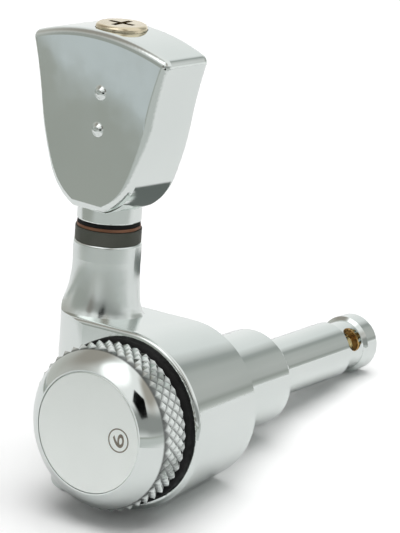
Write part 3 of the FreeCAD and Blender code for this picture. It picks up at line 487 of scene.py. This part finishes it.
def number_print():
    """The plain number in the ring; it reads from the foot of the knob upwards."""
    unselected()
    bpy.ops.object.text_add()
    number = bpy.context.object
    number.data.body = NUMBER
    number.data.size = NUMBER_SIZE
    number.data.align_x = "CENTER"
    number.data.align_y = "CENTER"
    number.data.extrude = INK_HEIGHT
    number.data.offset = NUMBER_WEIGHT
    number.data.resolution_u = NUMBER_CURVES
    bpy.ops.object.convert(target="MESH")
    number = bpy.context.object
    corners = [vertex.co for vertex in number.data.vertices]
    middle = Vector(((min(co.x for co in corners) + max(co.x for co in corners)) / 2,
                     (min(co.y for co in corners) + max(co.y for co in corners)) / 2, 0))
    number.matrix_world = (Matrix.Translation(NUMBER_PLACE) @ NUMBER_READING
                           @ Matrix.Diagonal((NUMBER_WIDTH, 1, 1, 1)) @ Matrix.Translation(-middle))
    settle(number, "number_print", marking_ink, "thumbwheel")


def button_pip(name, place):
    """A small round swell on the button's front, drawn out of a disc in steps."""
    unselected()
    bpy.ops.mesh.primitive_circle_add(
        vertices=PIP_CORNERS, radius=PIP_FOOT, fill_type="NGON",
        location=place - PIP_FACING * PIP_SUNK,
        rotation=PIP_FACING.to_track_quat("Z", "Y").to_euler())
    bpy.ops.object.transform_apply(location=True, rotation=True, scale=True)
    editing()
    bpy.ops.mesh.select_all(action="SELECT")
    for inward, outward in PIP_STEPS:
        bpy.ops.mesh.inset(thickness=inward * MM)
        bpy.ops.transform.translate(value=PIP_FACING * outward * MM)
    bpy.ops.object.mode_set(mode="OBJECT")
    bpy.ops.object.shade_smooth()
    settle(bpy.context.object, name, cast_button, "button")


def hole_lining(name, side):
    """A brass tube in one half of the string hole."""
    start, end = LINING_REACH
    unselected()
    bpy.ops.mesh.primitive_cylinder_add(
        vertices=LINING_CORNERS, radius=LINING_RADIUS, depth=end - start,
        location=Vector((0, HOLE_Y, 0)) + HOLE_AXIS * side * (start + end) / 2,
        rotation=HOLE_AXIS.to_track_quat("Z", "Y").to_euler())
    hollowed(HOLE_AXIS, LINING_WALL)
    bpy.ops.object.shade_smooth_by_angle(angle=LINING_SMOOTH)
    settle(bpy.context.object, name, bare_brass, "post")


number_ring()
number_print()
hole_lining("string_hole_lining_upper", 1)
hole_lining("string_hole_lining_lower", -1)
for count, pip_place in enumerate(PIP_PLACES, 1):
    button_pip("button_pip_%d" % count, pip_place)

# Studio.


def mirrored_rays(nodes, links, path):
    """1 for the rays that polished metal or glass sends out."""
    return reckoned(nodes, links, "MAXIMUM", path.outputs["Is Glossy Ray"],
                    path.outputs["Is Transmission Ray"])


def looking(nodes, links):
    """Azimuth and elevation of the direction in which a ray leaves, in degrees, wavering."""
    vector, along = placed(nodes, links, "Generated")
    turn = reckoned(nodes, links, "ARCTAN2", along["Y"], along["X"])
    lift = reckoned(nodes, links, "ARCSINE", along["Z"])
    waver = nodes.new("ShaderNodeTexNoise")
    waver.inputs["Scale"].default_value = ROOM_WAVER_SCALE
    waver.inputs["Detail"].default_value = 1.0
    links.new(vector, waver.inputs["Vector"])
    shift = reckoned(nodes, links, "MULTIPLY_ADD", waver.outputs["Fac"], ROOM_WAVER,
                     -ROOM_WAVER / 2)
    degrees = math.degrees(1)
    azimuth = reckoned(nodes, links, "MULTIPLY_ADD", turn, degrees, shift)
    elevation = reckoned(nodes, links, "MULTIPLY_ADD", lift, degrees, shift)
    return azimuth, elevation


def patched(nodes, links, colour, azimuth, elevation, patch):
    """Lays one oval patch over a room's colour."""
    around, above, half_width, half_height, softness, shade = patch
    aside = reckoned(nodes, links, "SUBTRACT", azimuth, around)
    aside = reckoned(nodes, links, "WRAP", aside, HALF_TURN, -HALF_TURN)
    aside = reckoned(nodes, links, "DIVIDE", aside, half_width)
    higher = reckoned(nodes, links, "SUBTRACT", elevation, above)
    higher = reckoned(nodes, links, "DIVIDE", higher, half_height)
    outward = reckoned(nodes, links, "SQRT", reckoned(
        nodes, links, "ADD", reckoned(nodes, links, "MULTIPLY", aside, aside),
        reckoned(nodes, links, "MULTIPLY", higher, higher)))
    cover = fading(nodes, links, outward, 1 - softness, 1 + softness)
    return mixed(nodes, links, cover, colour, shade)


def behind(nodes, links, colour):
    """Lays the wall behind over a room's colour, by the angle about the post's axis."""
    along = placed(nodes, links, "Generated")[1]
    turn = reckoned(nodes, links, "ARCTAN2", along["Z"], along["X"])
    share = reckoned(nodes, links, "MULTIPLY_ADD", turn, 0.5 / math.pi, 0.5)
    ramp = nodes.new("ShaderNodeValToRGB")
    stops = ramp.color_ramp.elements
    for index, (angle, shade) in enumerate(BACK_WALL):
        stop = stops[index] if index < 2 else stops.new(1.0)
        stop.position = (angle + HALF_TURN) / (2 * HALF_TURN)
        stop.color = (*shade, 1)
    links.new(share, ramp.inputs["Fac"])
    cover = levelled(nodes, links, along["Y"], *BACK_WALL_FROM, soft=True)
    return mixed(nodes, links, cover, colour, ramp.outputs["Color"])


def make_world():
    """White where it is looked at, a plain level where it lights, and a room in mirrors."""
    world = bpy.data.worlds.new("white_studio")
    bpy.context.scene.world = world
    world.use_nodes = True
    nodes, links = world.node_tree.nodes, world.node_tree.links
    path = nodes.new("ShaderNodeLightPath")
    plain = nodes["Background"]
    plain.inputs["Color"].default_value = (1, 1, 1, 1)
    links.new(levelled(nodes, links, path.outputs["Is Camera Ray"], 0, 1, AMBIENT, 1.0),
              plain.inputs["Strength"])
    azimuth, elevation = looking(nodes, links)
    colour = ROOM_WHITE
    for patch in ROOM:
        colour = patched(nodes, links, colour, azimuth, elevation, patch)
    room = nodes.new("ShaderNodeBackground")
    links.new(behind(nodes, links, colour), room.inputs["Color"])
    both = layered(nodes, links, mirrored_rays(nodes, links, path), plain.outputs[0],
                   room.outputs[0])
    links.new(both, nodes["World Output"].inputs["Surface"])


def resting_line():
    """The lowest place of the drum's rear rim, and the floor's slope up to the post's tip."""
    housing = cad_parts["housing"].data
    rim = min((vertex.co for vertex in housing.vertices), key=lambda co: co.z)
    post = [vertex.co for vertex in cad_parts["string_post"].data.vertices]
    reach = max(co.y for co in post) - TIP_LENGTH
    slope = min((co.z - rim.z) / (co.y - rim.y) for co in post if co.y > reach)
    return rim.copy(), slope


def seen_sheet(nodes, links, seen, away):
    """Paper that takes shadows, a little brighter to the camera and plain white far off."""
    paper = nodes.new("ShaderNodeBsdfDiffuse")
    links.new(levelled(nodes, links, seen, 0, 1, FLOOR_SHADE, FLOOR_SHADE_SEEN),
              paper.inputs["Color"])
    white = nodes.new("ShaderNodeEmission")
    far = left_of(nodes, links, fading(nodes, links, away, *FLOOR_WHITE_FROM))
    return layered(nodes, links, reckoned(nodes, links, "MULTIPLY", seen, far),
                   paper.outputs[0], white.outputs[0])


def far_floor_shade_and_wall(nodes, links, vector, place, away):
    """What mirrors see past the sheet: painted shade, the floor glowing grey and lighter on the
    right, and a paler wall on the left.
    """
    waver = nodes.new("ShaderNodeTexNoise")
    waver.inputs["Scale"].default_value = FAR_FLOOR_WAVER_SCALE
    links.new(vector, waver.inputs["Vector"])
    further = reckoned(nodes, links, "MULTIPLY_ADD", waver.outputs["Fac"], FAR_FLOOR_WAVER, away)
    on_left = fading(nodes, links, place["X"], *FAR_FLOOR_SIDES)
    on_far_floor = fading(nodes, links, further, *FAR_FLOOR_RADII)
    on_wall = reckoned(nodes, links, "MULTIPLY", on_left,
                       fading(nodes, links, further, *WALL_RADII))
    far_floor = mixed(nodes, links, on_left, FAR_FLOOR_RIGHT_PAINTED_SHADE, FAR_FLOOR_PAINTED_SHADE)
    beyond = mixed(nodes, links, on_wall, FAR_FLOOR_PAINTED_SHADE, WALL_SHADE)
    # Painted shade: the floor past the sheet glows grey to mirrors.
    far_floor_glow = nodes.new("ShaderNodeEmission")
    links.new(mixed(nodes, links, on_far_floor, beyond, far_floor), far_floor_glow.inputs["Color"])
    return far_floor_glow.outputs[0]


def make_floor():
    """A white sheet that keeps the object's shadow, tipped as the machine lies on it."""
    rim, slope = resting_line()
    unselected()
    bpy.ops.mesh.primitive_plane_add(
        size=FLOOR_SIZE, location=(0, rim.y, rim.z - FLOOR_GAP), rotation=(math.atan(slope), 0, 0))
    floor = bpy.context.object
    floor.name = "floor"
    material, nodes, links, shader = new_finish("white_sheet")
    nodes.remove(shader)
    path = nodes.new("ShaderNodeLightPath")
    mirrored = mirrored_rays(nodes, links, path)
    vector, place = placed(nodes, links, "Object")
    distance = nodes.new("ShaderNodeVectorMath")
    distance.operation = "DISTANCE"
    distance.inputs[1].default_value = (*SHEET_CENTRE, 0)
    links.new(vector, distance.inputs[0])
    away = distance.outputs["Value"]

    off_sheet = reckoned(nodes, links, "MULTIPLY",
                         left_of(nodes, links, fading(nodes, links, away, *SHEET_RADII)),
                         fading(nodes, links, place["Y"], *SHEET_BACK))
    sheet = layered(nodes, links, reckoned(nodes, links, "MULTIPLY", mirrored, off_sheet),
                    seen_sheet(nodes, links, path.outputs["Is Camera Ray"], away),
                    far_floor_shade_and_wall(nodes, links, vector, place, away))
    opened = left_of(nodes, links, fading(nodes, links, place["Y"], *SHEET_OPEN))
    clear = nodes.new("ShaderNodeBsdfTransparent")
    tent = layered(nodes, links, reckoned(nodes, links, "MULTIPLY", mirrored, opened), sheet,
                   clear.outputs[0])
    links.new(tent, nodes["Material Output"].inputs["Surface"])
    floor.data.materials.append(material)


def mirrors_only(card):
    """Leaves a card to mirrors: it isn't seen otherwise and neither lights nor shades."""
    card.visible_camera = False
    card.visible_diffuse = False
    card.visible_transmission = False
    card.visible_shadow = False


def make_card():
    """The black card, a five-cornered oval that faces the bezel."""
    around, above = math.radians(CARD_AZIMUTH), math.radians(CARD_ELEVATION)
    towards = Vector((math.cos(above) * math.cos(around), math.cos(above) * math.sin(around),
                      math.sin(above)))
    unselected()
    bpy.ops.mesh.primitive_circle_add(vertices=CARD_CORNERS, radius=1.0, fill_type="NGON")
    card = bpy.context.object
    card.name = "black_card"
    card.matrix_world = (Matrix.Translation(CARD_FROM + towards * CARD_DISTANCE)
                         @ towards.to_track_quat("Z", "Y").to_matrix().to_4x4()
                         @ Matrix.Rotation(math.radians(CARD_LEAN), 4, "Z")
                         @ Matrix.Diagonal((*CARD_RADII, 1, 1)))
    material, nodes, links, shader = new_finish("black_card")
    shader.inputs["Base Color"].default_value = (CARD_SHADE, CARD_SHADE, CARD_SHADE, 1)
    shader.inputs["Roughness"].default_value = 1.0
    shader.inputs["Specular IOR Level"].default_value = 0.0
    card.data.materials.append(material)
    mirrors_only(card)


def make_painted_shade_card():
    """The grey card over the drum, glowing with painted shade for the button's underside to mirror:
    clear from below, and clear towards its rim.
    """
    unselected()
    bpy.ops.mesh.primitive_plane_add(size=2.0)
    card = bpy.context.object
    card.name = "shade_card"
    card.matrix_world = (Matrix.Translation(SHADE_CARD_PLACE)
                         @ Matrix.Diagonal((*SHADE_CARD_RADII, 1, 1)))
    material, nodes, links, shader = new_finish("shade_card")
    nodes.remove(shader)
    grey = nodes.new("ShaderNodeEmission")
    grey.inputs["Color"].default_value = (*SHADE_CARD_PAINTED_SHADE, 1)
    clear = nodes.new("ShaderNodeBsdfTransparent")
    place = placed(nodes, links, "Object")[1]
    rim = reckoned(nodes, links, "MAXIMUM", reckoned(nodes, links, "ABSOLUTE", place["X"]),
                   reckoned(nodes, links, "ABSOLUTE", place["Y"]))
    side = nodes.new("ShaderNodeNewGeometry")
    cover = reckoned(nodes, links, "MULTIPLY", fading(nodes, links, rim, *SHADE_CARD_FADE),
                     left_of(nodes, links, side.outputs["Backfacing"]))
    links.new(layered(nodes, links, cover, clear.outputs[0], grey.outputs[0]),
              nodes["Material Output"].inputs["Surface"])
    card.data.materials.append(material)
    mirrors_only(card)


def make_key_box():
    """The square lamp overhead; mirrors see the room's white in its place."""
    lamp = bpy.data.lights.new("key_box", "AREA")
    lamp.shape = "RECTANGLE"
    lamp.size, lamp.size_y = KEY_SIZE
    lamp.energy = KEY_POWER
    holder = bpy.data.objects.new("key_box", lamp)
    bpy.context.scene.collection.objects.link(holder)
    away = Vector(KEY_DIRECTION).normalized()
    middle = sum(cad_box, Vector()) / 2
    holder.matrix_world = (Matrix.Translation(middle + away * KEY_DISTANCE)
                           @ away.to_track_quat("Z", "Y").to_matrix().to_4x4())
    holder.visible_glossy = False


def make_camera():
    """The camera of the photograph: a long lens, slightly rolled."""
    lens = bpy.data.cameras.new("photo_camera")
    lens.lens = CAMERA_LENS
    lens.sensor_width = SENSOR_WIDTH
    lens.sensor_fit = "AUTO"
    lens.clip_start, lens.clip_end = CAMERA_CLIP
    camera = bpy.data.objects.new("photo_camera", lens)
    bpy.context.scene.collection.objects.link(camera)
    turn = (Matrix.Rotation(math.radians(CAMERA_AZIMUTH), 4, "Z")
            @ Matrix.Rotation(math.radians(90 - CAMERA_ELEVATION), 4, "X")
            @ Matrix.Rotation(math.radians(CAMERA_ROLL), 4, "Z"))
    camera.matrix_world = Matrix.Translation(CAMERA_PLACE) @ turn
    bpy.context.scene.camera = camera


make_camera()
make_world()
make_floor()
make_card()
make_painted_shade_card()
make_key_box()

bpy.context.scene.view_settings.view_transform = "Standard"
